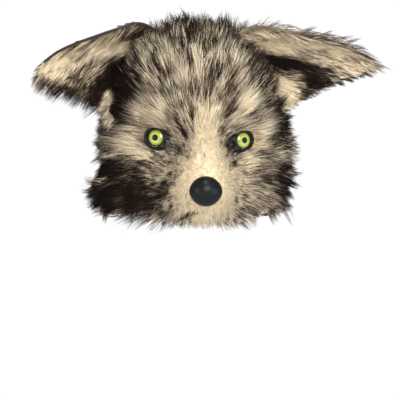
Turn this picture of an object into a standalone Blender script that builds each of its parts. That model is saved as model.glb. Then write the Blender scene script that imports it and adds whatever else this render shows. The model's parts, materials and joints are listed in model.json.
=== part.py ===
"""A wolf half mask of faux fur over a moulded face shell, worn from the crown down to the upper lip.

Metres, +Z up. The mask looks along -Y and +X is to the right of someone who faces it.
The origin is the seat on the inside of the crown, where it rests on the wearer's head.
"""

import math
import random

import bmesh
import bpy
import numpy as np
from mathutils import Matrix, Vector
from mathutils.bvhtree import BVHTree

mm = 0.001

# Moulded shell: seat to brow, seat to lip edge, and across the cheeks
mask_depth = 108 * mm
mask_height = 203 * mm
mask_width = 182 * mm
shell_wall = 2.6 * mm
columns = 22
rows = 18

# Muzzle, as it stands out of the face
muzzle_length = 60 * mm
muzzle_half_width = 44 * mm
muzzle_rise = 66 * mm
muzzle_drop = 48 * mm
muzzle_axis_drop = 0.813 * mask_height
muzzle_bluntness = 3.2

# Fur fabric: backing, pile lengths and seams
backing = 1.8 * mm
seat_gap = 0.3 * mm
seam_gap = 0.5 * mm
short_pile = 5 * mm
long_pile = 29 * mm
ear_pile = 13 * mm
inner_ear_pile = 7 * mm
ear_clearance = 17 * mm
eye_clearance = 4 * mm

# Ears
ear_length = 118 * mm
ear_width = 110 * mm
ear_wall = 4.5 * mm
ear_across_steps = 6
ear_along_steps = 8
ear_hidden_steps = 2

# Eyes
eye_spread = 94 * mm
eye_drop = 0.542 * mask_height
eye_turn = 25
eye_slant = 17
eye_long = 39 * mm
eye_upper = 11.5 * mm
eye_lower = 13.5 * mm
eye_stand = 4.5 * mm
eye_reach = 5.5 * mm
iris_diameter = 18.7 * mm
iris_dome = 4.2 * mm
iris_offset = 5 * mm
pupil_diameter = 6.8 * mm
sight_length = 9.5 * mm
sight_height = 9 * mm
sight_holes = 4
mesh_thickness = 1.0 * mm
rim_bevel = 1.1 * mm

# Nose
nose_width = 35.5 * mm
nose_height = 32.5 * mm
nose_depth = 27 * mm
nose_peg = 9 * mm
nose_peg_length = 9 * mm

# Elastic band round the back of the head
band_width = 20 * mm
band_thickness = 1.5 * mm
band_gap = 0.65 * mm
band_drop = 96 * mm
band_back = 100 * mm
band_overlap = 26 * mm
band_anchor_steps = 4
band_steps = 30

# Each row runs from side rim to side rim. y are shares of mask_depth, z of mask_height and
# width of half mask_width, at the middle (front) and at the rim (side). power rounds the arch.
face_rows = [
    # name, front_y, front_z, side_y, side_z, width, power
    ("lip", -0.950, -0.990, 0.00, -0.865, 0.93, 0.95),
    ("muzzle", -0.975, -0.813, 0.05, -0.765, 0.99, 0.93),
    ("eyes", -0.990, -0.591, 0.11, -0.665, 1.00, 0.90),
    ("brow", -1.000, -0.404, 0.15, -0.552, 0.98, 0.88),
    ("forehead", -0.930, -0.207, 0.19, -0.453, 0.95, 0.88),
    ("hairline", -0.730, -0.052, 0.22, -0.370, 0.93, 0.90),
    ("top", -0.370, 0.009, 0.25, -0.305, 0.91, 0.93),
    ("crown", 0.000, 0.0128, 0.28, -0.256, 0.90, 0.95),
    ("back", 0.352, -0.030, 0.31, -0.217, 0.88, 0.97),
]

# Each ear's sections from root to tip: along is a share of ear_length, wide a share of ear_width,
# curl the trough's angle in degrees, and sag how far it bends down as a share of ear_length.
ear_rows = [
    # along, wide, curl, sag
    (-0.35, 0.62, 110, 0.00),
    (-0.15, 0.84, 110, 0.00),
    (0.08, 0.96, 110, 0.00),
    (0.30, 0.78, 110, 0.00),
    (0.52, 0.57, 105, 0.01),
    (0.71, 0.41, 100, 0.03),
    (0.87, 0.26, 90, 0.06),
    (1.00, 0.10, 80, 0.10),
]

# How each soft ear happens to lie, in degrees: lift above level, turn towards the front, roll of
# its opening downwards. size and spread are shares of ear_length and ear_width.
ear_poses = {
    # name: side, across, up, lift, forward, roll, size, spread
    "left_ear": (-1, 0.64, 0.68, 4, 22, 10, 0.95, 1.22),
    "right_ear": (1, 0.60, 0.72, 10, 6, 26, 1.13, 1.24),
}


def clear_scene():
    for item in list(bpy.data.objects):
        bpy.data.objects.remove(item)


def make_material(name, colour, roughness, metallic=0.0):
    material = bpy.data.materials.new(name)
    material.use_nodes = True
    shader = material.node_tree.nodes["Principled BSDF"]
    shader.inputs["Base Color"].default_value = (*colour, 1.0)
    shader.inputs["Roughness"].default_value = roughness
    shader.inputs["Metallic"].default_value = metallic
    return material


def make_object(name, points, faces, material=None):
    mesh = bpy.data.meshes.new(name)
    mesh.from_pydata([tuple(p) for p in points], [], faces)
    mesh.validate()
    item = bpy.data.objects.new(name, mesh)
    bpy.context.scene.collection.objects.link(item)
    if material:
        mesh.materials.append(material)
    return item


def hide_helper(item):
    item.hide_render = True
    item.display_type = "WIRE"
    return item


def cut(target, cutter, has_locks=False):
    """Leaves the shape of cutter out of target. Locks of fur that run into each other are joined."""
    hide_helper(cutter)
    modifier = target.modifiers.new("cut_" + cutter.name, "BOOLEAN")
    modifier.operation = "DIFFERENCE"
    modifier.object = cutter
    modifier.solver = "EXACT"
    modifier.use_self = has_locks


def smooth(low, high, value):
    share = min(max((value - low) / (high - low), 0.0), 1.0)
    return share * share * (3 - 2 * share)


def between_rows(table, first, share):
    """The row's numbers at a share of the way down a table, on a smooth curve through its rows."""
    place = share * (len(table) - 1)
    start = min(int(place), len(table) - 2)
    t = place - start
    picked = [table[min(max(k, 0), len(table) - 1)] for k in range(start - 1, start + 3)]
    a, b, c, d = (np.array(row[first:], float) for row in picked)
    return 0.5 * (2 * b + (c - a) * t + (2 * a - 5 * b + 4 * c - d) * t**2 + (3 * b - a - 3 * c + d) * t**3)


def signed_power(value, power):
    return math.copysign(abs(value) ** power, value)


# Form of the moulded face


def muzzle_share(x, z):
    """1 on the muzzle's axis and 0 where it meets the face."""
    rise = z + muzzle_axis_drop
    reach = muzzle_rise if rise > 0 else muzzle_drop
    # The bridge narrows as it climbs between the eyes.
    narrow = 1 - 0.42 * max(rise, 0) / muzzle_rise
    away = math.hypot(x / (muzzle_half_width * narrow), rise / reach)
    return max(1 - away**muzzle_bluntness, 0.0) ** 1.8


def eye_share(x, z, radius):
    away = math.hypot(abs(x) - eye_spread / 2, z + eye_drop) / radius
    return max(1 - away * away, 0.0) ** 2


def face_point(across, up, lift=0.0):
    """A point of the moulded face. across is -1 to 1 between the side rims, up is 0 at the lip."""
    front_y, front_z, side_y, side_z, width, power = between_rows(face_rows, 1, up)
    turn = across * math.pi / 2
    forward = max(math.cos(turn), 0.0) ** power
    x = width * mask_width / 2 * signed_power(math.sin(turn), power)
    y = mask_depth * (side_y + (front_y - side_y) * forward)
    z = mask_height * (side_z + (front_z - side_z) * forward)
    y -= muzzle_length * muzzle_share(x, z)
    y += 0.055 * mask_depth * eye_share(x, z, 0.17 * mask_width)
    brow_drop = eye_drop - 0.13 * mask_height
    brow = math.hypot((abs(x) - 0.24 * mask_width) / (0.19 * mask_width), (z + brow_drop) / (0.1 * mask_height))
    y -= 0.05 * mask_depth * max(1 - brow * brow, 0.0) ** 2
    point = Vector((x, y, z))
    return point + face_normal(across, up) * lift if lift else point


def face_normal(across, up):
    step = 0.012
    wide = face_point(min(across + step, 1), up) - face_point(max(across - step, -1), up)
    tall = face_point(across, min(up + step, 1)) - face_point(across, max(up - step, 0))
    return wide.cross(tall).normalized()


def column_place(index):
    """The across value of a grid line. The lines lie closer together over the muzzle."""
    return signed_power(2 * index / columns - 1, 1.25)


def face_grid(lift):
    return [
        [face_point(column_place(i), j / rows, lift) for i in range(columns + 1)]
        for j in range(rows + 1)
    ]


def halves(corners):
    """A four-cornered patch as two triangles. Every layer of the coat is split the same way."""
    a, b, c, d = corners
    return [(a, b, c), (a, c, d)]


def halves_turned(corners):
    """The same two triangles, facing the other way."""
    return [triangle[::-1] for triangle in halves(corners)]


def slab(outer, inner):
    """Points and faces of a wall between two equal grids of points, closed round its rim."""
    tall, wide = len(outer), len(outer[0])
    points = [p for row in outer for p in row] + [p for row in inner for p in row]
    count = tall * wide

    def at(j, i, layer):
        return layer * count + j * wide + i

    faces = []
    for j in range(tall - 1):
        for i in range(wide - 1):
            loop = ((j, i), (j, i + 1), (j + 1, i + 1), (j + 1, i))
            faces += halves([at(a, b, 0) for a, b in loop])
            faces += halves_turned([at(a, b, 1) for a, b in loop])
    ring = [(0, i) for i in range(wide - 1)] + [(j, wide - 1) for j in range(tall - 1)]
    ring += [(tall - 1, i) for i in range(wide - 1, 0, -1)] + [(j, 0) for j in range(tall - 1, 0, -1)]
    for (j, i), (j2, i2) in zip(ring, ring[1:] + ring[:1]):
        faces.append((at(j2, i2, 0), at(j, i, 0), at(j, i, 1), at(j2, i2, 1)))
    return points, faces


# Eye places and outline


def eye_frame(side):
    """Matrix of an eye: its x runs towards the outer corner, its y up the lid and its z out."""
    turn = math.radians(eye_turn) * side
    out = Vector((math.sin(turn), -math.cos(turn), 0.0))
    up = Vector((0, 0, 1))
    along = up.cross(out) * -side
    slant = math.radians(eye_slant)
    corner = along * -math.cos(slant) + up * math.sin(slant)
    lid = out.cross(corner) * side
    x = side * eye_spread / 2
    z = -eye_drop
    across, lift = nearest_face_place(x, z)
    place = face_point(across, lift)
    frame = Matrix((corner, lid, out)).transposed().to_4x4()
    frame.translation = place
    return frame


def nearest_face_place(x, z):
    """across and up of the face point that has this x and z, found by halving steps."""
    across, up, step = x / mask_width * 1.4, 1 + z / mask_height / 1.5, 0.25
    best = math.inf
    while step > 1e-5:
        moved = False
        for da, du in ((step, 0), (-step, 0), (0, step), (0, -step)):
            a, u = min(max(across + da, -1), 1), min(max(up + du, 0), 1)
            point = face_point(a, u)
            miss = math.hypot(point.x - x, point.z - z)
            if miss < best:
                best, across, up, moved = miss, a, u, True
        if not moved:
            step /= 2
    return across, up


def almond(grow=0.0, steps=9):
    """Outline of an eye, outer corner first, as x, y in the eye's frame with the iris at 0, 0."""
    half = eye_long / 2 + grow
    middle = -iris_offset
    outline = []
    for k in range(2 * steps):
        turn = math.pi * k / steps
        tall = (eye_upper if turn < math.pi else eye_lower) + grow
        outline.append((middle + half * math.cos(turn), tall * signed_power(math.sin(turn), 0.8)))
    return outline


def prism(name, outline, low, high, frame, material=None):
    """A solid from an outline, between two heights of a frame."""
    count = len(outline)
    points = [frame @ Vector((x, y, z)) for z in (low, high) for x, y in outline]
    faces = [tuple(range(count - 1, -1, -1)), tuple(range(count, 2 * count))]
    for k in range(count):
        nxt = (k + 1) % count
        faces.append((k, nxt, count + nxt, count + k))
    return face_out(make_object(name, points, faces, material))


def face_out(item):
    mesh = bmesh.new()
    mesh.from_mesh(item.data)
    bmesh.ops.recalc_face_normals(mesh, faces=mesh.faces)
    mesh.to_mesh(item.data)
    mesh.free()
    return item


def round_outline(diameter, steps=18):
    turns = [2 * math.pi * k / steps for k in range(steps)]
    return [(diameter / 2 * math.cos(t), diameter / 2 * math.sin(t)) for t in turns]


def turned(name, profile, steps, frame, material):
    """A solid of revolution about a frame's z. profile holds radius, height from axis to axis."""
    points, faces = [], []
    for radius, height in profile[1:-1]:
        for k in range(steps):
            turn = 2 * math.pi * k / steps
            points.append(frame @ Vector((radius * math.cos(turn), radius * math.sin(turn), height)))
    rings = len(profile) - 2
    ends = [frame @ Vector((0, 0, profile[0][1])), frame @ Vector((0, 0, profile[-1][1]))]
    for r in range(rings - 1):
        for k in range(steps):
            nxt = (k + 1) % steps
            faces.append((r * steps + k, r * steps + nxt, (r + 1) * steps + nxt, (r + 1) * steps + k))
    first, last = len(points), len(points) + 1
    for k in range(steps):
        nxt = (k + 1) % steps
        faces.append((first, nxt, k))
        faces.append((last, (rings - 1) * steps + k, (rings - 1) * steps + nxt))
    item = face_out(make_object(name, points + ends, faces, material))
    item.data.shade_smooth()
    return item


# Fur


def nose_centre():
    """Middle of the nose ball, whose back face lies on the fur backing at the muzzle's tip."""
    across, up = nearest_face_place(0.0, -muzzle_axis_drop - 0.1 * nose_height)
    tip = face_point(across, up)
    stand = backing + 2 * seat_gap + 0.3 * nose_depth
    return Vector((0, tip.y - stand, tip.z))


def pile_height(point):
    """How far the fur stands off its backing."""
    far = (point - nose_centre()).length
    height = short_pile + (long_pile - short_pile) * smooth(0.35 * mask_height, 0.85 * mask_height, far)
    clear = math.hypot(abs(point.x) - eye_spread / 2, point.z + eye_drop)
    near_eye = smooth(0.45 * eye_long, 1.25 * eye_long, clear) if point.y < -0.2 * mask_depth else 1.0
    # The pile is clipped shorter at the temples than on the crown and the cheeks.
    temple = smooth(0.34 * mask_width, 0.45 * mask_width, abs(point.x))
    temple *= smooth(-0.85 * mask_height, -0.62 * mask_height, point.z)
    return height * (0.12 + 0.88 * near_eye) * (1 - 0.3 * temple)


def fur_flow(point, normal):
    """Unit direction in which the hair lies: away from the nose, and down the cheeks."""
    centre = nose_centre() + Vector((0, 0.3 * muzzle_length, 0.06 * mask_height))
    way = (point - centre).normalized()
    side = smooth(0.22 * mask_width, 0.5 * mask_width, abs(point.x))
    low = 1 - smooth(-0.5 * mask_height, -0.12 * mask_height, point.z)
    way += Vector((0, 0, -1)) * 0.85 * side * low
    way -= normal * way.dot(normal)
    return way.normalized()


def lock_points(corners, normal, flow, height, run, chance):
    """Middle ring and tip of one lock of fur on a patch of backing."""
    centre = sum(corners, Vector()) / 4
    sway = normal.cross(flow) * chance.uniform(-0.22, 0.22) * run
    middle = centre + normal * 0.62 * height + flow * 0.32 * run + sway * 0.3
    tip = centre + normal * height * chance.uniform(0.86, 1.05) + flow * run * chance.uniform(0.8, 1.1) + sway
    ring = [middle + (c - centre) * 0.66 for c in corners]
    return ring, tip


class PlacedLocks:
    """The locks made so far, so that a new one can be kept out of them."""

    def __init__(self):
        self.trees = []

    def add_if_clear(self, corners, ring, tip):
        low = [(c + r) / 2 for c, r in zip(corners, ring)]
        points = [*low, *ring, tip]
        faces = [(k, (k + 1) % 4, 4 + (k + 1) % 4, 4 + k) for k in range(4)]
        faces += [(4 + k, 4 + (k + 1) % 4, 8) for k in range(4)]
        middle = sum(points, Vector()) / len(points)
        reach = max((p - middle).length for p in points)
        tree = BVHTree.FromPolygons(points, faces)
        for other, where, size in self.trees:
            if (where - middle).length < reach + size and tree.overlap(other):
                return False
        self.trees.append((tree, middle, reach))
        return True


def furred_sheet(name, outer, inner, patches, lock_at, material):
    """A backing sheet over some patches of two grids, with a lock of fur on each outer patch.

    patches is a set of (row, column). lock_at gives a patch's ring and tip, or None for bare backing.
    """
    points, faces, index = [], [], {}

    def vertex(key, place):
        if key not in index:
            index[key] = len(points)
            points.append(place)
        return index[key]

    def node(j, i, layer, grid):
        mine = [p for p in ((j - 1, i - 1), (j - 1, i), (j, i - 1), (j, i)) if p in patches]
        inside = [(a, b) for a, b in ((j - 1, i - 1), (j - 1, i), (j, i - 1), (j, i)) if on_grid(a, b)]
        place = grid[j][i]
        if len(mine) < len(inside):
            # A seam's edge keeps clear of the panel beside it.
            own = sum((middle_of(grid, *p) for p in mine), Vector()) / len(mine)
            place = place + (own - place).normalized() * seam_gap * 0.7
        return vertex((j, i, layer), place)

    def on_grid(j, i):
        return 0 <= j < len(outer) - 1 and 0 <= i < len(outer[0]) - 1

    def middle_of(grid, j, i):
        return (grid[j][i] + grid[j][i + 1] + grid[j + 1][i] + grid[j + 1][i + 1]) / 4

    for j, i in sorted(patches):
        loop = ((j, i), (j, i + 1), (j + 1, i + 1), (j + 1, i))
        top = [node(a, b, 0, outer) for a, b in loop]
        low = [node(a, b, 1, inner) for a, b in loop]
        faces += halves_turned(low)
        found = lock_at(j, i, [points[k] for k in top])
        if found is None:
            faces += halves(top)
        else:
            ring, tip = found
            middle = [vertex((j, i, "ring", k), p) for k, p in enumerate(ring)]
            end = vertex((j, i, "tip"), tip)
            for k in range(4):
                nxt = (k + 1) % 4
                faces.append((top[k], top[nxt], middle[nxt], middle[k]))
                faces.append((middle[k], middle[nxt], end))
        beside = ((j - 1, i), (j, i + 1), (j + 1, i), (j, i - 1))
        for k, patch in enumerate(beside):
            if patch not in patches:
                nxt = (k + 1) % 4
                faces.append((top[nxt], top[k], low[k], low[nxt]))
    return make_object(name, points, faces, material)


# Ears


class Ear:
    """One ear: a leaf of doubled fabric, curled into a trough that opens forwards."""

    def __init__(self, name):
        side, across, up, lift, forward, roll, size, spread = ear_poses[name]
        self.name = name
        self.length = ear_length * size
        self.width = ear_width * spread
        self.root = face_point(across * side, up)
        self.side = side
        lift, forward, roll = (math.radians(a) for a in (lift, forward, roll))
        level = Vector((side * math.cos(forward), -math.sin(forward), 0))
        self.axis = (level * math.cos(lift) + Vector((0, 0, math.sin(lift)))).normalized()
        facing = Vector((0, -1, 0))
        facing = (facing - self.axis * facing.dot(self.axis)).normalized()
        upward = facing.cross(self.axis) * side
        self.facing = facing * math.cos(roll) - upward * math.sin(roll)
        self.upward = upward * math.cos(roll) + facing * math.sin(roll)

    def point(self, along, across, depth):
        """along 0 to 1 from hidden root to tip, across -1 to 1 from lower to upper edge."""
        share, wide, curl, sag = between_rows(ear_rows, 0, along)
        curl = math.radians(curl)
        radius = wide * self.width / curl
        turn = across * curl / 2
        back = math.cos(turn) * radius - radius * (1 + math.cos(curl / 2)) / 2
        place = self.root + self.axis * share * self.length - Vector((0, 0, sag * self.length))
        wall = self.upward * math.sin(turn) - self.facing * math.cos(turn)
        return place + self.upward * math.sin(turn) * radius - self.facing * back + wall * depth

    def grid(self, depth):
        return [
            [
                self.point(j / ear_along_steps, 2 * i / ear_across_steps - 1, depth)
                for i in range(ear_across_steps + 1)
            ]
            for j in range(ear_along_steps + 1)
        ]

    def build(self, material, head_form, chance):
        outer, inner = self.grid(ear_wall / 2), self.grid(-ear_wall / 2)
        if self.side < 0:
            outer, inner = [row[::-1] for row in outer], [row[::-1] for row in inner]

        def lock_at(j, layer, corners):
            if j < ear_hidden_steps:
                return None
            normal = (corners[2] - corners[0]).cross(corners[3] - corners[1]).normalized()
            flow = self.axis - normal * self.axis.dot(normal)
            height = ear_pile if layer == 0 else inner_ear_pile
            return lock_points(corners, normal, flow.normalized(), height, 1.15 * height, chance)

        cut(furred_both_sides(self.name, outer, inner, lock_at, material), head_form, has_locks=True)


def furred_both_sides(name, outer, inner, lock_at, material):
    """A sheet between two grids, with locks of fur on both of its faces."""
    points, faces, index = [], [], {}
    patches = {(j, i) for j in range(len(outer) - 1) for i in range(len(outer[0]) - 1)}

    def vertex(key, place):
        if key not in index:
            index[key] = len(points)
            points.append(place)
        return index[key]

    for j, i in sorted(patches):
        loop = ((j, i), (j, i + 1), (j + 1, i + 1), (j + 1, i))
        sides = []
        for layer, grid in enumerate((outer, inner)):
            corners = [vertex((a, b, layer), grid[a][b]) for a, b in loop]
            sides.append(corners)
            face = corners if layer == 0 else corners[::-1]
            found = lock_at(j, layer, [points[k] for k in face])
            if found is None:
                faces += halves(corners) if layer == 0 else halves_turned(corners)
                continue
            ring, tip = found
            middle = [vertex((j, i, layer, k), p) for k, p in enumerate(ring)]
            end = vertex((j, i, layer, "tip"), tip)
            for k in range(4):
                nxt = (k + 1) % 4
                faces.append((face[k], face[nxt], middle[nxt], middle[k]))
                faces.append((middle[k], middle[nxt], end))
        top, low = sides
        beside = ((j - 1, i), (j, i + 1), (j + 1, i), (j, i - 1))
        for k, patch in enumerate(beside):
            if patch not in patches:
                nxt = (k + 1) % 4
                faces.append((top[nxt], top[k], low[k], low[nxt]))
    return face_out(make_object(name, points, faces, material))


# Main pieces


def build_shell(material):
    shell = face_out(make_object("face_shell", *slab(face_grid(0), face_grid(-shell_wall)), material))
    for side, word in ((-1, "left"), (1, "right")):
        hole = prism(f"{word}_eye_hole", almond(seat_gap), -3 * eye_reach, 4 * eye_stand, eye_frame(side))
        cut(shell, hole)
    cut(shell, peg_cutter("nose_hole", nose_peg + 2 * seat_gap))
    return shell


def peg_cutter(name, diameter):
    centre = nose_centre()
    frame = Matrix.Rotation(math.radians(90), 4, "X")
    frame.translation = centre
    return prism(name, round_outline(diameter, 16), -4 * nose_peg_length, 0, frame)


def build_head_form():
    """The space inside the fur's outer face, which the ears' roots are trimmed to."""
    grid = face_grid(backing + 2 * seat_gap)
    tall, wide = len(grid), len(grid[0])
    points = [p for row in grid for p in row]
    faces = []
    for j in range(tall - 1):
        for i in range(wide - 1):
            a = j * wide + i
            faces += halves((a, a + 1, a + wide + 1, a + wide))
    ring = [i for i in range(wide)] + [j * wide + wide - 1 for j in range(1, tall)]
    ring += [(tall - 1) * wide + i for i in range(wide - 2, -1, -1)]
    ring += [j * wide for j in range(tall - 2, 0, -1)]
    points.append(Vector((0, 0, -mask_height / 2)))
    for a, b in zip(ring, ring[1:] + ring[:1]):
        faces.append((b, a, len(points) - 1))
    return hide_helper(face_out(make_object("head_form", points, faces)))


def panel_of(j, i):
    """Which sewn panel of fur a patch of the face belongs to."""
    middle = abs(i + 0.5 - columns / 2)
    if j < round(0.42 * rows):
        if middle < 0.3 * columns:
            return "muzzle_fur"
        return "left_cheek_fur" if i < columns / 2 else "right_cheek_fur"
    return "crown_fur"


def build_coat(colours, ears, chance):
    """The sewn fur panels, with their locks kept clear of the ears, the eyes and the nose."""
    outer, inner = face_grid(seat_gap + backing), face_grid(seat_gap)
    ear_trees = [ear_tree(ear) for ear in ears]
    nose = nose_centre()
    placed = PlacedLocks()
    panels = {}
    for j in range(rows):
        for i in range(columns):
            panels.setdefault(panel_of(j, i), set()).add((j, i))

    def clear_of_others(corners, ring, tip, height):
        halfway = [(c + r) / 2 for c, r in zip(corners, ring)] + [(r + tip) / 2 for r in ring]
        for place in [*ring, tip, *halfway]:
            for tree in ear_trees:
                if tree.find_nearest(place)[3] < ear_clearance + 0.15 * height:
                    return False
            scaled = place - nose
            away = Vector((scaled.x / nose_width, scaled.y / nose_depth, scaled.z / nose_height)) * 2
            if away.length < 1.12:
                return False
            if near_eye_opening(place):
                return False
        return True

    def lock_at(j, i, corners):
        normal = (corners[2] - corners[0]).cross(corners[3] - corners[1]).normalized()
        centre = sum(corners, Vector()) / 4
        if any(near_eye_opening(place) for place in [*corners, centre]):
            return None
        flow = fur_flow(centre, normal)
        height = pile_height(centre)
        state = chance.getstate()
        for shrink in (1, 0.7, 0.45, 0.25):
            chance.setstate(state)
            tall = height * shrink
            ring, tip = lock_points(corners, normal, flow, tall, 1.3 * tall, chance)
            if clear_of_others(corners, ring, tip, tall) and placed.add_if_clear(corners, ring, tip):
                return ring, tip
        return None

    coat = []
    for name, patches in panels.items():
        panel = furred_sheet(name, outer, inner, patches, lock_at, colours[name])
        if name == "muzzle_fur":
            cut(panel, peg_cutter("nose_peg_window", nose_peg + 4 * seat_gap))
            for word, frame in (("left", eye_frames[-1]), ("right", eye_frames[1])):
                cut(panel, prism(word + "_fur_window", almond(3 * seat_gap), -3 * eye_reach, 5 * eye_stand, frame))
        coat.append(face_out(panel))
    return coat


def near_eye_opening(place):
    side = 1 if place.x > 0 else -1
    local = eye_frames[side].inverted() @ place
    if local.z < -2 * eye_reach:
        return False
    half = eye_long / 2 + eye_clearance
    x = (local.x + iris_offset) / half
    tall = (eye_upper if local.y > 0 else eye_lower) + eye_clearance
    return x * x + (local.y / tall) ** 2 < 1


def ear_tree(ear):
    points, faces = slab(ear.grid(ear_wall / 2), ear.grid(-ear_wall / 2))
    return BVHTree.FromPolygons(points, faces)


def build_eye(side, word, colours):
    frame = eye_frames[side]
    rim = prism(word + "_eye_rim", almond(), -eye_reach, eye_stand, frame, colours["eye_rim"])
    bevel = rim.modifiers.new("soft_edge", "BEVEL")
    bevel.width = rim_bevel
    bevel.segments = 1
    bevel.limit_method = "ANGLE"
    bore = round_outline(iris_diameter + 2 * seat_gap)
    cut(rim, prism(word + "_iris_bore", bore, -2 * eye_reach, 2 * eye_stand, frame))
    middle = sight_middle()
    window = rounded_window(sight_length, sight_height, middle)
    cut(rim, prism(word + "_sight_window", window, -2 * eye_reach, 2 * eye_stand, frame))

    back = -0.5 * eye_reach
    dome = [(0, back), (iris_diameter / 2, back)]
    steps = 4
    for k in range(steps):
        turn = math.radians(90) * k / steps
        dome.append((iris_diameter / 2 * math.cos(turn) ** 0.9, eye_stand * 0.55 + iris_dome * math.sin(turn)))
    bore_radius = pupil_diameter / 2 + seat_gap
    dome = [p for p in dome if p[0] >= bore_radius or p[1] == back]
    iris = turned(word + "_iris", [*dome, (0, dome[-1][1])], 18, frame, colours["iris"])
    bore = round_outline(2 * bore_radius, 12)
    cut(iris, prism(word + "_pupil_bore", bore, -2 * eye_reach, 3 * eye_stand, frame))

    tall = eye_stand * 0.55 + iris_dome
    pupil = [(0, back), (pupil_diameter / 2, back), (pupil_diameter / 2, tall - 0.35 * iris_dome)]
    pupil += [(pupil_diameter / 2 * 0.7, tall - 0.12 * iris_dome), (0, tall)]
    turned(word + "_pupil", pupil, 12, frame, colours["pupil"])

    shape = rounded_window(sight_length - 2 * seat_gap, sight_height - 2 * seat_gap, middle)
    low = 0.2 * eye_stand
    mesh = prism(word + "_sight_mesh", shape, low, low + mesh_thickness, frame, colours["sight_mesh"])
    cut(mesh, mesh_holes(word + "_mesh_holes", frame, middle, low))


def sight_middle():
    """Middle of the see-through window, between the iris and the inner corner."""
    inner_edge = -iris_offset - eye_long / 2
    iris_edge = -iris_diameter / 2
    return (inner_edge + iris_edge) / 2 + 0.13 * (iris_edge - inner_edge), -0.02 * eye_long


def rounded_window(length, height, middle):
    outline = []
    for k in range(16):
        turn = 2 * math.pi * k / 16
        x = length / 2 * signed_power(math.cos(turn), 0.7)
        y = height / 2 * signed_power(math.sin(turn), 0.7)
        outline.append((middle[0] + x, middle[1] + y))
    return outline


def mesh_holes(name, frame, middle, low):
    """Square holes in rows, as one cutter."""
    pitch = sight_height * 0.8 / sight_holes
    half = 0.3 * pitch
    loops = ((3, 2, 1, 0), (4, 5, 6, 7), (0, 1, 5, 4), (1, 2, 6, 5), (2, 3, 7, 6), (3, 0, 4, 7))
    points, faces = [], []
    for a in range(sight_holes):
        for b in range(sight_holes):
            x = middle[0] + (a - (sight_holes - 1) / 2) * pitch
            y = middle[1] + (b - (sight_holes - 1) / 2) * pitch
            first = len(points)
            for z in (low - mesh_thickness, low + 2 * mesh_thickness):
                for dx, dy in ((-half, -half), (half, -half), (half, half), (-half, half)):
                    points.append(frame @ Vector((x + dx, y + dy, z)))
            faces += [tuple(first + k for k in loop) for loop in loops]
    return face_out(make_object(name, points, faces))


def build_nose(material):
    """A rounded ball, a little wide and pinched at the top, with a peg that holds it to the shell."""
    centre = nose_centre()
    back = 0.3 * nose_depth
    steps, rings = 24, 9
    points, faces = [], []
    profile = [math.radians(-90 + 180 * (r + 1) / (rings + 1)) for r in range(rings)]
    for lean in profile:
        for k in range(steps):
            turn = 2 * math.pi * k / steps
            across, up = math.cos(turn) * math.cos(lean), math.sin(turn) * math.cos(lean)
            out = min(-math.sin(lean) * nose_depth / 2, back)
            # The lower half is a little narrower than the upper.
            pinch = 1 - 0.07 * max(-up, 0) - 0.05 * max(up, 0)
            points.append(centre + Vector((across * nose_width / 2 * pinch, out, up * nose_height / 2)))
    front = len(points)
    points.append(centre + Vector((0, -nose_depth / 2, 0)))
    rear = len(points)
    points.append(centre + Vector((0, back, 0)))
    for r in range(rings - 1):
        for k in range(steps):
            nxt = (k + 1) % steps
            faces.append((r * steps + k, r * steps + nxt, (r + 1) * steps + nxt, (r + 1) * steps + k))
    for k in range(steps):
        nxt = (k + 1) % steps
        faces.append((front, (rings - 1) * steps + nxt, (rings - 1) * steps + k))
        faces.append((rear, k, nxt))
    nose = face_out(make_object("nose", points, faces, material))
    nose.data.shade_smooth()
    frame = Matrix.Rotation(math.radians(90), 4, "X")
    frame.translation = centre
    stem = prism("nose_stem", round_outline(nose_peg, 16), -back - nose_peg_length, 0, frame)
    join = nose.modifiers.new("peg", "BOOLEAN")
    join.operation = "UNION"
    join.object = hide_helper(stem)
    join.solver = "EXACT"
    return nose


def build_band(material):
    """Flat elastic from one side rim round the back of the head to the other, sewn inside the rim."""
    outer, inner = [], []
    for edge in (-0.5, 0.5):
        drop = -band_drop + edge * band_width
        line = band_line(drop)
        normals = []
        for k, place in enumerate(line):
            ahead = line[min(k + 1, len(line) - 1)] - line[max(k - 1, 0)]
            normals.append(Vector((ahead.y, -ahead.x, 0)).normalized())
        outer.append([p + n * band_thickness / 2 for p, n in zip(line, normals)])
        inner.append([p - n * band_thickness / 2 for p, n in zip(line, normals)])
    return face_out(make_object("head_band", *slab(outer, inner), material))


def band_line(drop):
    """Middle of the band's thickness at one height, from the left anchor round to the right one."""
    rim_up = rim_height_share(drop)
    inward = shell_wall + band_gap + band_thickness / 2
    anchor = []
    for k in range(band_anchor_steps + 1):
        # Steps forward along the inside of the shell, from the rim.
        across = 1 - k / band_anchor_steps * band_overlap / mask_depth * 0.62
        anchor.append(face_point(across, rim_up) - face_normal(across, rim_up) * inward)
    rim = anchor[0]
    half = []
    for k in range(1, band_steps // 2 + 1):
        turn = math.pi / 2 * k / (band_steps // 2)
        x = rim.x * math.cos(turn) ** 0.92
        y = rim.y + (band_back - rim.y) * math.sin(turn) ** 0.92
        half.append(Vector((max(x, 0), y, rim.z)))
    half[-1].x = 0
    right = [Vector((p.x, p.y, drop)) for p in anchor[::-1] + half]
    left = [Vector((-p.x, p.y, p.z)) for p in right[:-1]]
    return left + right[::-1]


def rim_height_share(z):
    low, high = 0.0, 1.0
    for _ in range(40):
        middle = (low + high) / 2
        if face_point(1.0, middle).z < z:
            low = middle
        else:
            high = middle
    return (low + high) / 2


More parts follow.
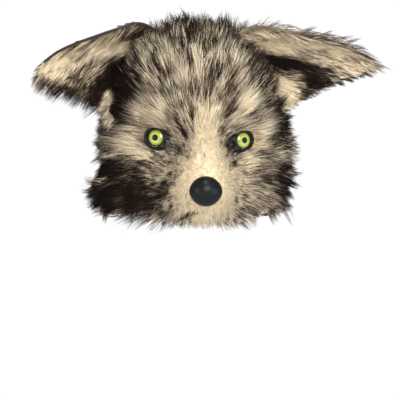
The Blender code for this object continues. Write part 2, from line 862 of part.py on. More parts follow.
def build_mask():
    clear_scene()
    chance = random.Random(11)
    shell_black = make_material("shell", (0.030, 0.030, 0.032), 0.6)
    coat_colours = {
        "muzzle_fur": make_material("cream_fur", (0.66, 0.57, 0.42), 0.85),
        "left_cheek_fur": make_material("left_cheek_fur", (0.16, 0.13, 0.11), 0.85),
        "right_cheek_fur": make_material("right_cheek_fur", (0.16, 0.13, 0.11), 0.85),
        "crown_fur": make_material("crown_fur", (0.34, 0.29, 0.23), 0.85),
    }
    ear_fur = make_material("ear_fur", (0.46, 0.38, 0.28), 0.85)
    eye_colours = {
        "eye_rim": make_material("eye_rim", (0.015, 0.015, 0.016), 0.35),
        "iris": make_material("iris", (0.55, 0.72, 0.10), 0.2),
        "pupil": make_material("pupil", (0.005, 0.005, 0.006), 0.1),
        "sight_mesh": make_material("sight_mesh", (0.03, 0.03, 0.032), 0.6),
    }
    build_shell(shell_black)
    ears = [Ear(name) for name in ear_poses]
    build_coat(coat_colours, ears, chance)
    head_form = build_head_form()
    for ear in ears:
        ear.build(ear_fur, head_form, chance)
    for side, word in ((-1, "left"), (1, "right")):
        build_eye(side, word, eye_colours)
    build_nose(make_material("nose", (0.02, 0.021, 0.022), 0.35))
    build_band(make_material("head_band", (0.02, 0.02, 0.02), 0.8))


eye_frames = {side: eye_frame(side) for side in (-1, 1)}
build_mask()
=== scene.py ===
import json
import math

import bpy
import numpy as np
from mathutils import Matrix, Vector
from mathutils.bvhtree import BVHTree
from mathutils.kdtree import KDTree

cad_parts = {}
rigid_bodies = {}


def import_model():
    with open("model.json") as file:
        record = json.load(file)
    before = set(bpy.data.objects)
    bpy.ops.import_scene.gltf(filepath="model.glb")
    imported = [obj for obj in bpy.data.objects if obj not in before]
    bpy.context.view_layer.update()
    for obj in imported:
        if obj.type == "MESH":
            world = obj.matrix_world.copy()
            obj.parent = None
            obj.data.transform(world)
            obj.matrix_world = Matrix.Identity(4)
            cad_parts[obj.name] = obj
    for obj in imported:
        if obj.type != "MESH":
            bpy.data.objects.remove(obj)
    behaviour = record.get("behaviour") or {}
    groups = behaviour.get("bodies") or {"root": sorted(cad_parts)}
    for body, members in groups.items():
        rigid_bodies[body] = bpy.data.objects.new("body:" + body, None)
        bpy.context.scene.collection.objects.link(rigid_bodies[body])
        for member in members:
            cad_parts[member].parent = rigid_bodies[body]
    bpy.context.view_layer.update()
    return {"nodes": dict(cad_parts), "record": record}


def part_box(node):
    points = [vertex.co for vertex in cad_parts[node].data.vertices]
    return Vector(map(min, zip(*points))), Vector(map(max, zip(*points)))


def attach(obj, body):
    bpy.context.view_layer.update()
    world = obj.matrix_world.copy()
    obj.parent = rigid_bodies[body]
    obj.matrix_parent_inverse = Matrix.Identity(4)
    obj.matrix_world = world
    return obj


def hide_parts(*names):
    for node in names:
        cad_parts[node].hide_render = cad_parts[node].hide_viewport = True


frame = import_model()
nodes = frame["nodes"]
mm = 0.001


# Small helpers for objects


def deselectAll():
    for item in bpy.context.view_layer.objects:
        item.select_set(False)


def pick(item):
    deselectAll()
    item.select_set(True)
    bpy.context.view_layer.objects.active = item
    return item


def applyAll(item):
    pick(item)
    for modifier in list(item.modifiers):
        bpy.ops.object.modifier_apply(modifier=modifier.name)
    return item


def addModifier(item, kind, **settings):
    modifier = item.modifiers.new(kind.lower(), kind)
    for key, value in settings.items():
        setattr(modifier, key, value)
    return modifier


def cutAway(item, cutter, operation="DIFFERENCE"):
    addModifier(item, "BOOLEAN", operation=operation, object=cutter, solver="EXACT")
    applyAll(item)
    bpy.data.objects.remove(cutter)
    return item


def smoothByAngle(item, degrees=40):
    pick(item)
    bpy.ops.object.shade_smooth_by_angle(angle=math.radians(degrees))
    return item


def meshCopy(node, name):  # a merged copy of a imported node
    piece = bpy.data.objects.new(name, nodes[node].data.copy())
    bpy.context.scene.collection.objects.link(piece)
    pick(piece)
    bpy.ops.object.mode_set(mode="EDIT")
    bpy.ops.mesh.select_all(action="SELECT")
    bpy.ops.mesh.remove_doubles(threshold=0.01 * mm)
    bpy.ops.object.mode_set(mode="OBJECT")
    bpy.ops.mesh.customdata_custom_splitnormals_clear()
    return piece


def dropFaces(item, chosen):
    pick(item)
    bpy.ops.object.mode_set(mode="EDIT")
    bpy.ops.mesh.select_mode(type="FACE")
    bpy.ops.mesh.select_all(action="DESELECT")
    bpy.ops.object.mode_set(mode="OBJECT")
    item.data.polygons.foreach_set("select", chosen)
    bpy.ops.object.mode_set(mode="EDIT")
    bpy.ops.mesh.delete(type="FACE")
    bpy.ops.object.mode_set(mode="OBJECT")
    return item


def finishPiece(piece, material, slotName, *replaced):
    piece.data.materials.clear()
    piece.data.materials.append(material)
    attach(piece, "root")
    if replaced:
        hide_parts(*replaced)
    return piece


def pointsOf(item):
    places = np.empty(len(item.data.vertices) * 3)
    item.data.vertices.foreach_get("co", places)
    return places.reshape(-1, 3)


def movePoints(item, places):
    item.data.vertices.foreach_set("co", np.asarray(places, float).ravel())
    item.data.update()


# Shader maths: a wire carries a socket, a bench holds one material's nodes


class Wire:
    def __init__(self, bench, socket):
        self.bench = bench
        self.socket = socket

    def maths(self, operation, first, second=None):
        return self.bench.node("ShaderNodeMath", {"operation": operation}, {0: first, 1: second})

    def __add__(self, other):
        return self.maths("ADD", self, other)

    def __radd__(self, other):
        return self.maths("ADD", other, self)

    def __sub__(self, other):
        return self.maths("SUBTRACT", self, other)

    def __rsub__(self, other):
        return self.maths("SUBTRACT", other, self)

    def __mul__(self, other):
        return self.maths("MULTIPLY", self, other)

    def __rmul__(self, other):
        return self.maths("MULTIPLY", other, self)

    def __pow__(self, other):
        return self.maths("POWER", self, other)

    def limited(self):
        return self.bench.node("ShaderNodeClamp", {}, {0: self})

    def between(self, low, high):  # 0 at low and 1 at high, eased
        settings = {"interpolation_type": "SMOOTHSTEP"}
        return self.bench.node("ShaderNodeMapRange", settings, {0: self, 1: low, 2: high, 3: 0.0, 4: 1.0})


class Bench:
    def __init__(self, tree):
        self.tree = tree

    def node(self, kind, settings=None, values=None, output=0):
        made = self.tree.nodes.new(kind)
        for key, value in (settings or {}).items():
            if key == "stops":
                self.setStops(made.color_ramp, value)
            else:
                setattr(made, key, value)
        for key, value in (values or {}).items():
            if isinstance(value, Wire):
                self.tree.links.new(value.socket, made.inputs[key])
            elif value is not None:
                made.inputs[key].default_value = value
        return Wire(self, made.outputs[output])

    def setStops(self, ramp, stops):
        while len(ramp.elements) < len(stops):
            ramp.elements.new(1.0)
        for element, (place, colour) in zip(ramp.elements, stops):
            element.position = place
            element.color = (*colour, 1.0)

    def attribute(self, name, output=2):
        return self.node("ShaderNodeAttribute", {"attribute_name": name}, output=output)

    def objectPlace(self):
        return self.node("ShaderNodeTexCoord", output=3)

    def noise(self, place, scale, detail=3.0, output=0):
        return self.node("ShaderNodeTexNoise", {}, {"Vector": place, "Scale": scale, "Detail": detail}, output)

    def mix(self, share, first, second, blend="MIX"):
        settings = {"data_type": "RGBA", "blend_type": blend}
        colours = [c if isinstance(c, Wire) else (*c, 1.0) for c in (first, second)]
        return self.node("ShaderNodeMix", settings, {0: share, 6: colours[0], 7: colours[1]}, output=2)

    def brightness(self, colour, value):
        return self.node("ShaderNodeHueSaturation", {}, {"Value": value, "Color": colour})

    def feed(self, socketName, wire):
        self.tree.links.new(wire.socket, self.shader.inputs[socketName])

    def bump(self, height, strength, distance):
        values = {"Strength": strength, "Distance": distance, "Height": height}
        self.feed("Normal", self.node("ShaderNodeBump", {}, values))


def newMaterial(name, **fixed):
    material = bpy.data.materials.new(name)
    material.use_nodes = True
    bench = Bench(material.node_tree)
    bench.material = material
    bench.shader = material.node_tree.nodes["Principled BSDF"]
    for key, value in fixed.items():
        bench.shader.inputs[key.replace("_", " ")].default_value = value
    return bench


# Fur strands: arrays of closed, tapered hairs with three sides


def smoothStep(low, high, value):
    share = np.clip((value - low) / (high - low), 0, 1)
    return share * share * (3 - 2 * share)


def unit(vectors):
    return vectors / np.maximum(np.linalg.norm(vectors, axis=-1, keepdims=True), 1e-12)


def dot(first, second):
    return (first * second).sum(-1, keepdims=True)


def meshFromArrays(name, points, triangles):
    mesh = bpy.data.meshes.new(name)
    mesh.vertices.add(len(points))
    mesh.vertices.foreach_set("co", points.ravel())
    mesh.loops.add(triangles.size)
    mesh.loops.foreach_set("vertex_index", triangles.ravel().astype(np.int32))
    mesh.polygons.add(len(triangles))
    mesh.polygons.foreach_set("loop_start", np.arange(0, triangles.size, 3, dtype=np.int32))
    mesh.update(calc_edges=True)
    mesh.shade_smooth()
    piece = bpy.data.objects.new(name, mesh)
    bpy.context.scene.collection.objects.link(piece)
    return piece


# paths holds strands x places x 3, across each strand's sideways direction, facts one value per strand
def strandMesh(name, paths, across, width, facts):
    strands, places = paths.shape[:2]
    rings = places - 1
    ahead = unit(paths[:, 1:] - paths[:, :-1])
    upward = unit(np.cross(across[:, None, :], ahead))
    side = np.repeat(across[:, None, :], rings, axis=1)
    taper = 1 - 0.75 * np.linspace(0, 1, rings, endpoint=False) ** 1.4
    half = (width[:, None] * taper[None, :] / 2)[..., None]
    corners = []
    for turn in (90, 210, 330):
        angle = math.radians(turn)
        corners.append(paths[:, :-1] + half * (side * math.cos(angle) + 0.6 * upward * math.sin(angle)))
    ringPoints = np.stack(corners, axis=2).reshape(strands, rings * 3, 3)
    points = np.concatenate([ringPoints, paths[:, -1:]], axis=1)
    faces = [(0, 1, 2)]
    for ring in range(rings - 1):
        for k in range(3):
            a, b = ring * 3 + k, ring * 3 + (k + 1) % 3
            faces += [(a, a + 3, b), (b, a + 3, b + 3)]
    last = (rings - 1) * 3
    faces += [(last + k, rings * 3, last + (k + 1) % 3) for k in range(3)]
    faces = np.array(faces)
    perStrand = rings * 3 + 1
    triangles = (faces[None] + np.arange(strands)[:, None, None] * perStrand).reshape(-1, 3)
    piece = meshFromArrays(name, points.reshape(-1, 3), triangles)
    along = np.append(np.repeat(np.linspace(0, 1, rings, endpoint=False), 3), 1.0)
    layers = {"along": np.tile(along, strands)}
    for key, value in facts.items():
        layers[key] = np.repeat(value, perStrand)
    for key, value in layers.items():
        piece.data.attributes.new(key, "FLOAT", "POINT").data.foreach_set("value", value.astype(np.float32))
    return piece


# Random roots over triangles, where weight is the chance of each place, with their normals
def scatter(points, normals, triangles, count, weight, chance):
    a, b, c = (points[triangles[:, k]] for k in range(3))
    area = np.linalg.norm(np.cross(b - a, c - a), axis=1) / 2
    share = area * weight((a + b + c) / 3)
    chosen = chance.choice(len(triangles), count, p=share / share.sum())
    first, second = chance.random((2, count))
    over = first + second > 1
    first[over], second[over] = 1 - first[over], 1 - second[over]
    mixed = np.stack([1 - first - second, first, second], axis=1)[..., None]
    places = (points[triangles[chosen]] * mixed).sum(1)
    return places, unit((normals[triangles[chosen]] * mixed).sum(1))


# Each strand leaves its root at lift + curve degrees and ends at lift - curve, with droop downwards
def growPaths(roots, normals, flow, length, lift, places, curve, droop):
    steps = places - 1
    paths = [roots]
    for k in range(steps):
        share = (k + 0.5) / steps
        angle = np.radians(lift + curve * (1 - 2 * share))[:, None]
        step = flow * np.cos(angle) + normals * np.sin(angle)
        step = unit(step + np.array([0, 0, -1.0]) * droop * share)
        paths.append(paths[-1] + step * (length / steps)[:, None])
    return np.stack(paths, axis=1)


# Draws strands together into locks, and gives each strand's lock
def gather(paths, count, strength, power, chance):
    leaders = chance.choice(len(paths), count, replace=False)
    tree = KDTree(count)
    for k, leader in enumerate(leaders):
        tree.insert(paths[leader, 0], k)
    tree.balance()
    owner = np.array([tree.find(root)[1] for root in paths[:, 0]])
    share = strength * np.linspace(0, 1, paths.shape[1]) ** power
    led = paths[leaders]
    led = led[:, :1] + (led - led[:, :1]) * chance.uniform(0.85, 1.3, count)[:, None, None]
    return paths + share[None, :, None] * (led[owner] - paths), owner


# How far each place stands out of a surface, with the surface's normal there
def standOff(places, tree):
    found = [tree.find_nearest(Vector(place)) for place in places]
    near, normals = (np.array([hit[k] for hit in found]) for k in (0, 1))
    return dot(places - near, normals), normals


# Pushes strands that would run into the backing out to a little above it
def keepOutside(paths, tree, lowest):
    for k in range(1, paths.shape[1]):
        stand, normals = standOff(paths[:, k], tree)
        paths[:, k] += normals * np.maximum(lowest * k - stand, 0)
    return paths


# How much each oval mark covers a place, from 0 to 1
def ovalShare(first, second, middleA, middleB, halfA, halfB, turn):
    angle = math.radians(turn)
    a, b = first - middleA, second - middleB
    u = (a * math.cos(angle) + b * math.sin(angle)) / halfA
    v = (b * math.cos(angle) - a * math.sin(angle)) / halfB
    return np.exp(-((u * u + v * v) ** 2))


# Lays each mark over dark and cream in turn
def paintMarks(first, second, marks, dark, cream):
    for _, middleA, middleB, halfA, halfB, turn, markDark, markCream in marks:
        share = ovalShare(first, second, middleA, middleB, halfA, halfB, turn)
        dark = dark * (1 - share) + markDark * share
        cream = cream * (1 - share) + markCream * share
    return dark, cream


# How dark each hair's outer end is: whole locks go dark together, with single hairs between
def darkHairs(mask, fine, coarse, chance, shares=(0.35, 0.45, 0.2), contrast=5.2):
    mixed = shares[0] * chance.random(fine.max() + 1)[fine] + shares[1] * chance.random(coarse.max() + 1)[coarse]
    mixed = mixed + shares[2] * chance.random(len(mask))
    rank = np.empty(len(mask))
    rank[np.argsort(mixed)] = np.linspace(0, 1, len(mask))
    return np.clip(mask + mask * (1 - mask) * contrast * (0.5 - rank), 0, 1)


# A hair's shade of its coat colour, alike within a lock
def hairTone(fine, chance):
    perLock = chance.normal(0, 0.16, fine.max() + 1)[fine]
    return np.clip(0.5 + perLock + chance.normal(0, 0.14, len(fine)), 0, 1)


# Fur colours, as faux fur is dyed: pale undercoat, and guard hairs that turn brown and then black; the same dark ends
# also paint the shade ovals, and the tone carries the ears' painted brightening

furLook = {
    "creamRoot": (0.80, 0.65, 0.42),
    "creamTip": (0.92, 0.80, 0.58),
    "greyRoot": (0.34, 0.27, 0.20),
    "greyTip": (0.60, 0.51, 0.40),
    "brownEnd": (0.17, 0.108, 0.068),
    "darkEnd": (0.014, 0.008, 0.006),
    "brownFrom": 0.66,
    "brownTo": 0.90,
    "darkFrom": 0.78,
    "darkTo": 1.06,
    "roughness": 0.72,
}


def furMaterial(name, look):
    bench = newMaterial(name, Roughness=look["roughness"], Specular_IOR_Level=0.08)
    along = bench.attribute("along")
    cream = bench.attribute("cream")
    pale = along.between(0.1, 0.9)
    root = bench.mix(cream, look["greyRoot"], look["creamRoot"])
    tip = bench.mix(cream, look["greyTip"], look["creamTip"])
    coat = bench.mix(pale, root, tip)
    coat = bench.brightness(coat, 0.74 + 0.5 * bench.attribute("tone"))
    dyed = 0.62 * along + 0.88 * bench.attribute("dark")
    brown = bench.mix(dyed.between(look["brownFrom"], look["brownTo"]), coat, look["brownEnd"])
    bench.feed("Base Color", bench.mix(dyed.between(look["darkFrom"], look["darkTo"]), brown, look["darkEnd"]))
    return bench.material


# The knit under the pile is dyed with it, so it takes the same markings, and the same painted shade ovals
def knitMaterial(name):
    bench = newMaterial(name, Roughness=0.9)
    place = bench.objectPlace()
    loops = bench.noise(place, 900.0, 2.0)
    cream = bench.mix(bench.attribute("cream"), (0.20, 0.15, 0.11), (0.70, 0.56, 0.36))
    dyed = bench.mix(bench.attribute("dark").between(0.35, 0.95), cream, (0.014, 0.010, 0.009))
    bench.feed("Base Color", bench.brightness(dyed, 0.8 + 0.4 * bench.noise(place, 60.0)))
    bench.bump(loops, 0.4, 0.3 * mm)
    return bench.material


def markPoints(piece, dark, cream):
    for key, value in (("dark", dark), ("cream", cream)):
        layer = piece.data.attributes.new(key, "FLOAT", "POINT")
        layer.data.foreach_set("value", value.astype(np.float32))


# Face: the fabric backing over the shell, cut into its sewn panels

backingSizes = {"gap": 0.3 * mm, "thickness": 1.8 * mm, "near": 1.6 * mm}


# Which faces of the shell are its outer wall: those with a coat panel close above every corner, and
# those that face as the nearest such one does, as round the eyes, where no panel reaches
def outerFaces(shell, reach):
    graph = bpy.context.evaluated_depsgraph_get()
    trees = [BVHTree.FromObject(nodes[name], graph) for name in panelLooks]
    close = [min(tree.find_nearest(v.co)[3] for tree in trees) < reach for v in shell.data.vertices]
    faces = shell.data.polygons
    under = [all(close[v] for v in face.vertices) for face in faces]
    tree = KDTree(sum(under))
    for face, isUnder in zip(faces, under):
        if isUnder:
            tree.insert(face.center, face.index)
    tree.balance()
    return [
        isUnder or face.normal.dot(faces[tree.find(face.center)[1]].normal) > 0.55
        for face, isUnder in zip(faces, under)
    ]


# The outer wall of the shell, smoothed, and lifted by the glue gap where the wall's corners reach through
def buildBacking(sizes):
    backing = meshCopy("face_shell", "backing")
    dropFaces(backing, [not isOuter for isOuter in outerFaces(backing, sizes["near"])])
    bpy.ops.object.mode_set(mode="EDIT")
    bpy.ops.mesh.select_all(action="SELECT")
    bpy.ops.mesh.tris_convert_to_quads()
    bpy.ops.object.mode_set(mode="OBJECT")
    addModifier(backing, "SUBSURF", levels=1, render_levels=1, boundary_smooth="PRESERVE_CORNERS")
    applyAll(backing)
    wall = BVHTree.FromObject(nodes["face_shell"], bpy.context.evaluated_depsgraph_get())
    lifts = [wall.ray_cast(v.co, v.normal, sizes["near"] * 4)[3] or 0.0 for v in backing.data.vertices]
    normals = np.array([v.normal for v in backing.data.vertices])
    movePoints(backing, pointsOf(backing) + normals * (np.array(lifts) + sizes["gap"])[:, None])
    return backing


# The coat node that each place belongs to
def panelOfPlaces(places):
    graph = bpy.context.evaluated_depsgraph_get()
    names = ["crown_fur", "muzzle_fur", "left_cheek_fur", "right_cheek_fur"]
    trees = [BVHTree.FromObject(nodes[n], graph) for n in names]
    distance = np.array([[tree.find_nearest(Vector(p))[3] for tree in trees] for p in places])
    return np.array(names)[distance.argmin(1)]


def trianglesOf(item):
    item.data.calc_loop_triangles()
    triangles = np.empty(len(item.data.loop_triangles) * 3, np.int32)
    item.data.loop_triangles.foreach_get("vertices", triangles)
    return triangles.reshape(-1, 3)


# Markings of the face, and ovals of painted shade where the ears and the left eye shade it, as ovals in front view:
# middle x and z and half sizes in mm, turn in degrees, then how many hairs are dark and how cream the others are

faceMarks = [
    # name, x, z, halfX, halfZ, turn, dark, cream
    ("crownTop", 4, 23, 71.1, 19.5, 0, 0.80, 0.30),
    ("topTuft", -18, 26, 13.7, 11.4, 0, 0.96, 0.10),
    ("leftCrown", -55, 3, 22.5, 15.8, 0, 0.62, 0.35),
    ("rightCrown", 54, 13, 18.2, 11.4, 0, 0.76, 0.30),
    ("foreheadPale", -4, -28, 9, 28, 5, 0.40, 0.70),
    ("leftForehead", -45, -41, 19.9, 19.9, 0, 0.46, 0.55),
    ("rightForehead", 35, -34, 15.6, 22.2, 0, 0.66, 0.45),
    ("foreheadLine", 9, -52, 4.4, 16.5, 0, 0.85, 0.20),
    # painted shadow: these two ovals darken hair and knit where the right ear and its fold shade the face
    ("paintedShadowUnderRightEar", 74, -31, 14.7, 20.3, 20, 0.86, 0.15),
    ("paintedFoldShadowBesideRightEar", 57, -10, 18, 5.6, -10, 0.98, 0.05),
    # painted shadow: near-black hair and knit where the left ear shades the face
    ("paintedShadowUnderLeftEar", -84, -50, 19, 31, 0, 0.97, 0.05),
    ("leftBrow", -56, -82, 22.1, 11.1, 10, 0.30, 0.75),
    ("rightBrow", 54, -68, 8.9, 22.2, -25, 0.02, 1.00),
    ("rightBrowDark", 76, -66, 10.1, 10.1, 0, 0.78, 0.30),
    ("browMiddle", 5, -82, 17.6, 15.4, 0, 0.34, 0.80),
    ("bridge", 5, -121, 18.5, 34.8, 0, 0.00, 1.00),
    ("muzzle", 3, -167, 43, 44, 0, 0.00, 1.00),
    ("leftTemple", -89, -84, 16, 25, 0, 0.92, 0.15),
    ("leftEyeOuter", -80, -114, 8.9, 13.3, 0, 0.02, 1.00),
    ("underLeftEye", -66, -129, 16.6, 7.7, -20, 0.03, 1.00),
    ("leftEyeBag", -55, -141, 22, 7.7, -15, 0.55, 0.50),
    ("leftCheekTop", -90, -144, 20, 14, 0, 0.88, 0.20),
    ("leftCheek", -76, -178, 40, 31, 0, 0.94, 0.15),
    ("leftMuzzleSide", -43, -170, 7.6, 26.1, -33, 0.92, 0.15),
    # painted shade: greyer hair and knit below the left eye's inner corner
    ("paintedShadeBelowLeftEye", -30, -136, 8.7, 8.7, 0, 0.50, 0.60),
    ("leftBrowStreak", -21, -102, 3.1, 15.4, 33, 1.00, 0.00),
    ("leftEyeCorner", -27, -122, 6.6, 9.9, 0, 0.88, 0.10),
    ("rightEyeCorner", 31, -116, 7.7, 11, 0, 0.88, 0.10),
    ("rightEyeDrop", 37, -134, 4, 8.8, 0, 0.82, 0.20),
    ("besideRightEye", 70, -107, 8.9, 16.7, -15, 0.03, 1.00),
    ("aboveRightOuter", 77, -86, 8.9, 7.8, 0, 0.25, 0.80),
    ("underRightEye", 57, -134, 10, 11, 0, 0.00, 1.00),
    ("rightTemple", 97, -88, 14, 32, 0, 0.90, 0.20),
    ("rightMuzzleSide", 48, -160, 6, 24, 0, 0.25, 0.80),
    ("rightCheekTop", 82, -152, 17.8, 13.3, 0, 0.74, 0.30),
    ("rightCheek", 72, -176, 24.3, 15.5, 0, 0.52, 0.50),
    ("rightCheekEdge", 101, -159, 10.1, 29.2, 0, 0.88, 0.15),
    ("lipLine", -16, -196, 15, 2.6, 27, 0.82, 0.30),
    ("lowerLeft", -55, -203, 17.4, 6.5, 0, 0.78, 0.30),
]

# Where the pile is longer or shorter and stands up more or less: extra length in mm, extra lift in degrees
tuftMarks = [
    # name, x, z, halfX, halfZ, turn, length, lift
    ("crownLine", 4, 8, 70, 20, 0, 5, 19),
    ("topTuft", -16, 10, 9, 14, 0, 3, 8),
    ("leftRoot", -60, -8, 18, 16, 0, 10, 16),
    ("rightRoot", 54, 0, 15, 15, 0, 15, 16),
    ("rightTemple", 92, -88, 16, 36, 0, 9, 6),
    ("rightCheek", 92, -140, 14, 26, 0, 4, 4),
    ("rightCheekTuft", 88, -178, 14, 9, 0, 14, 2),
    ("leftCheekTuft", -90, -166, 14, 11, 0, 8, 4),
    ("leftNotch", -90, -133, 14, 15.7, 0, -8, -6),
    ("lipFringe", -1, -197, 56, 11, 0, 9, -6),
    ("leftFringe", -62, -194, 24, 12, 0, 10, -4),
    ("rightCorner", 74, -192, 20, 15, 0, -20, -6),
]


def faceTufts(places, base, column):
    value = base
    for mark in tuftMarks:
        value = value + mark[column] * ovalShare(places[:, 0] / mm, places[:, 2] / mm, *mark[1:6])
    return value


def hairLength(places):
    far = np.linalg.norm(places - np.array([0, -172, -168]) * mm, axis=1) / mm
    length = 8 + 30 * smoothStep(48, 150, far)
    low = smoothStep(60, 100, np.abs(places[:, 0]) / mm) * (1 - smoothStep(-150, -100, places[:, 2] / mm))
    return np.maximum(faceTufts(places, length + 6 * low, 6), 5) * mm


# Away from the nose, and down over the cheeks
def faceFlow(places, normals):
    way = unit(places - np.array([0, -158, -156]) * mm)
    side = smoothStep(40, 91, np.abs(places[:, 0]) / mm)
    low = 1 - smoothStep(-101, -24, places[:, 2] / mm)
    lowest = 1 - smoothStep(-190, -140, places[:, 2] / mm)
    way[:, 2] -= 0.35 * side * low * (1 - 0.8 * lowest)
    return unit(way - normals * dot(way, normals))


def coatColours(places, marks, dark, cream):
    rear = smoothStep(-20, 30, places[:, 1] / mm)
    base = dark + 0.16 * rear, np.full(len(places), cream)
    return paintMarks(places[:, 0] / mm, places[:, 2] / mm, marks, *base)


def faceColours(places):
    return coatColours(places, faceMarks, 0.64, 0.42)


eyeShape = {"long": 39, "upper": 11.5, "lower": 13.5, "offset": 5, "turn": 25, "slant": 17, "reach": 2.75}


# Where the eye stands: x to its outer corner, y up the lid and z out of the face
def eyeMatrix(side):
    turn = math.radians(eyeShape["turn"]) * side
    slant = math.radians(eyeShape["slant"])
    out = Vector((math.sin(turn), -math.cos(turn), 0))
    along = Vector((0, 0, 1)).cross(out) * -side
    corner = along * -math.cos(slant) + Vector((0, 0, math.sin(slant)))
    lid = out.cross(corner) * side
    pupil = nodes["left_pupil" if side < 0 else "right_pupil"]
    places = [v.co for v in pupil.data.vertices]
    middle = sum(places, Vector()) / len(places)
    back = min(p.dot(out) for p in places)
    middle += out * (back + eyeShape["reach"] * mm - middle.dot(out))
    matrix = Matrix((corner, lid, out)).transposed().to_4x4()
    matrix.translation = middle
    return matrix


eyeMatrices = {-1: eyeMatrix(-1), 1: eyeMatrix(1)}


# Which places lie over one of the eyes' almonds, grown by some mm and cut short at the inner corner
def overEye(places, grow, cut=0.0):
    hit = np.zeros(len(places), bool)
    for side, matrix in eyeMatrices.items():
        turned = np.array(matrix.inverted())
        local = (places @ turned[:3, :3].T + turned[:3, 3]) / mm
        x = local[:, 0] + eyeShape["offset"]
        x = x / (eyeShape["long"] / 2 + grow - np.where(x < 0, cut, 0.0))
        tall = np.where(local[:, 1] > 0, eyeShape["upper"], eyeShape["lower"]) + grow
        hit |= (x * x + (local[:, 1] / tall) ** 2 < 1) & (local[:, 2] > -12) & (places[:, 0] * side > 0)
    return hit


panelLooks = {
    "crown_fur": {
        "strands": 11800,
        "places": 4,
        "width": 0.82,
        "locks": (1900, 560),
        "gather": 0.68,
        "undercoat": 0.3,
        "eyeClear": -1.0,
        "seed": 3,
    },
    "muzzle_fur": {
        "strands": 18600,
        "places": 3,
        "width": 0.56,
        "locks": (3600, 1100),
        "gather": 0.4,
        "undercoat": 0.4,
        "eyeClear": -1.0,
        "seed": 4,
    },
    "left_cheek_fur": {
        "strands": 8400,
        "places": 4,
        "width": 0.82,
        "locks": (1000, 170),
        "gather": 0.78,
        "undercoat": 0.25,
        "eyeClear": 0.5,
        "seed": 5,
    },
    "right_cheek_fur": {
        "strands": 8400,
        "places": 4,
        "width": 0.82,
        "locks": (1000, 170),
        "gather": 0.78,
        "undercoat": 0.25,
        "eyeClear": 0.5,
        "seed": 6,
    },
}


def growPanel(node, backing, panel, tree, material):
    look = panelLooks[node]
    chance = np.random.default_rng(look["seed"])
    points = pointsOf(backing)
    normals = np.array([v.normal for v in backing.data.vertices])
    triangles = trianglesOf(backing)
    triangles = triangles[panel]
    count = look["strands"]
    stand = backingSizes["thickness"]

    def weight(places):
        return np.where(overEye(places, 0.5), 0.0, 1.0)

    def overIris(paths):
        return overEye(paths[:, -1], look["eyeClear"], 7.0) | overEye(paths[:, -2], look["eyeClear"], 7.0)

    roots, up = scatter(points, normals, triangles, count, weight, chance)
    roots = roots + up * (stand - 0.4 * mm)
    clear = ~overEye(roots, 0.0)
    nose = np.array(noseMiddle)
    clear &= np.linalg.norm((roots - nose) / np.array([17.5, 20, 16]) / mm, axis=1) > 0.86
    roots, up = roots[clear], up[clear]
    under = chance.random(len(roots)) < look["undercoat"]
    length = hairLength(roots) * chance.uniform(0.74, 1.12, len(roots)) * np.where(under, 0.62, 1.0)
    flow = faceFlow(roots, up)
    flow = unit(flow + np.cross(up, flow) * chance.normal(0, 0.24, len(roots))[:, None])
    far = smoothStep(8 * mm, 30 * mm, length)
    lift = faceTufts(roots, 12 + 14 * far, 7) + chance.normal(0, 5, len(roots))
    settings = (look["places"], 14, 0.10)
    paths = growPaths(roots, up, flow, length, lift, *settings)
    for _ in range(4):  # hairs that would fall over an eye are clipped shorter
        length[overIris(paths)] *= 0.6
        paths = growPaths(roots, up, flow, length, lift, *settings)
    kept = ~overIris(paths)
    grown = (roots, up, flow, length, paths, under)
    roots, up, flow, length, paths, under = (part[kept] for part in grown)
    dark, cream = faceColours(paths[:, -2])
    fine, coarse = look["locks"]
    paths, locks = gather(paths, fine, look["gather"], 1.3, chance)
    paths, tufts = gather(paths, coarse, 0.8 * look["gather"], 1.5, chance)
    paths = keepOutside(paths, tree, stand + 0.4 * mm)
    dark = np.where(under, 0.35 * dark + 0.65 * smoothStep(0.75, 1.0, dark), dark)
    facts = {
        "dark": darkHairs(dark, locks, tufts, chance),
        "cream": np.clip(cream + chance.normal(0, 0.12, len(roots)), 0, 1),
        "tone": hairTone(locks, chance),
    }
    width = look["width"] * mm * chance.uniform(0.7, 1.2, len(roots))
    piece = strandMesh(node.replace("fur", "pile"), paths, unit(np.cross(up, flow)), width, facts)
    finishPiece(piece, material, frameSlot(node))
    print(piece.name, len(roots), "strands")
    return piece


def frameSlot(node):
    rows = frame["record"]["subparts"]
    return next(row["material_slot"] for row in rows if row["node"] == node)


# Ears: doubled fur fabric, curled into a trough and sewn to the crown

earLooks = {
    "left_ear": {
        "side": -1,
        "root": (-71.8, -24.7, -31.7),
        "axis": (-0.9249, -0.3737, 0.0698),
        "facing": (0.3539, -0.9135, -0.2008),
        "length": 112.1,
        "width": 134.2,
        "strands": 8600,
        "comb": (-1.35, -0.95, -0.45),
        "hair": 24,
        "edgeLength": 24,
        "fringe": (0, 0.0, 0),
        "paintedBrightening": 0.22,
        "droop": 0.3,
        "coat": (0.36, 0.72),
        "rim": 1.0,
        "back": 0.92,
        "seed": 7,
    },
    "right_ear": {
        "side": 1,
        "root": (68.4, -20.3, -25.1),
        "axis": (0.9794, -0.1029, 0.1736),
        "facing": (-0.0146, -0.8940, -0.4478),
        "length": 133.3,
        "width": 136.4,
        "strands": 8600,
        "comb": (-0.9, -0.15, 0.1),
        "hair": 22,
        "edgeLength": -8,
        "fringe": (9, 0.55, 14),
        "paintedBrightening": 0.35,
        "droop": 0.2,
        "coat": (0.30, 0.75),
        "rim": 0.8,
        "back": 0.7,
        "seed": 8,
    },
}

# Sections from root to tip, as in the solid: place along, width, curl in degrees and sag
earRows = np.array([
    (-0.35, 0.62, 110, 0.00),
    (-0.15, 0.84, 110, 0.00),
    (0.08, 0.96, 110, 0.00),
    (0.30, 0.78, 110, 0.00),
    (0.52, 0.57, 105, 0.01),
    (0.71, 0.41, 100, 0.03),
    (0.87, 0.26, 90, 0.06),
    (1.00, 0.10, 80, 0.10),
])

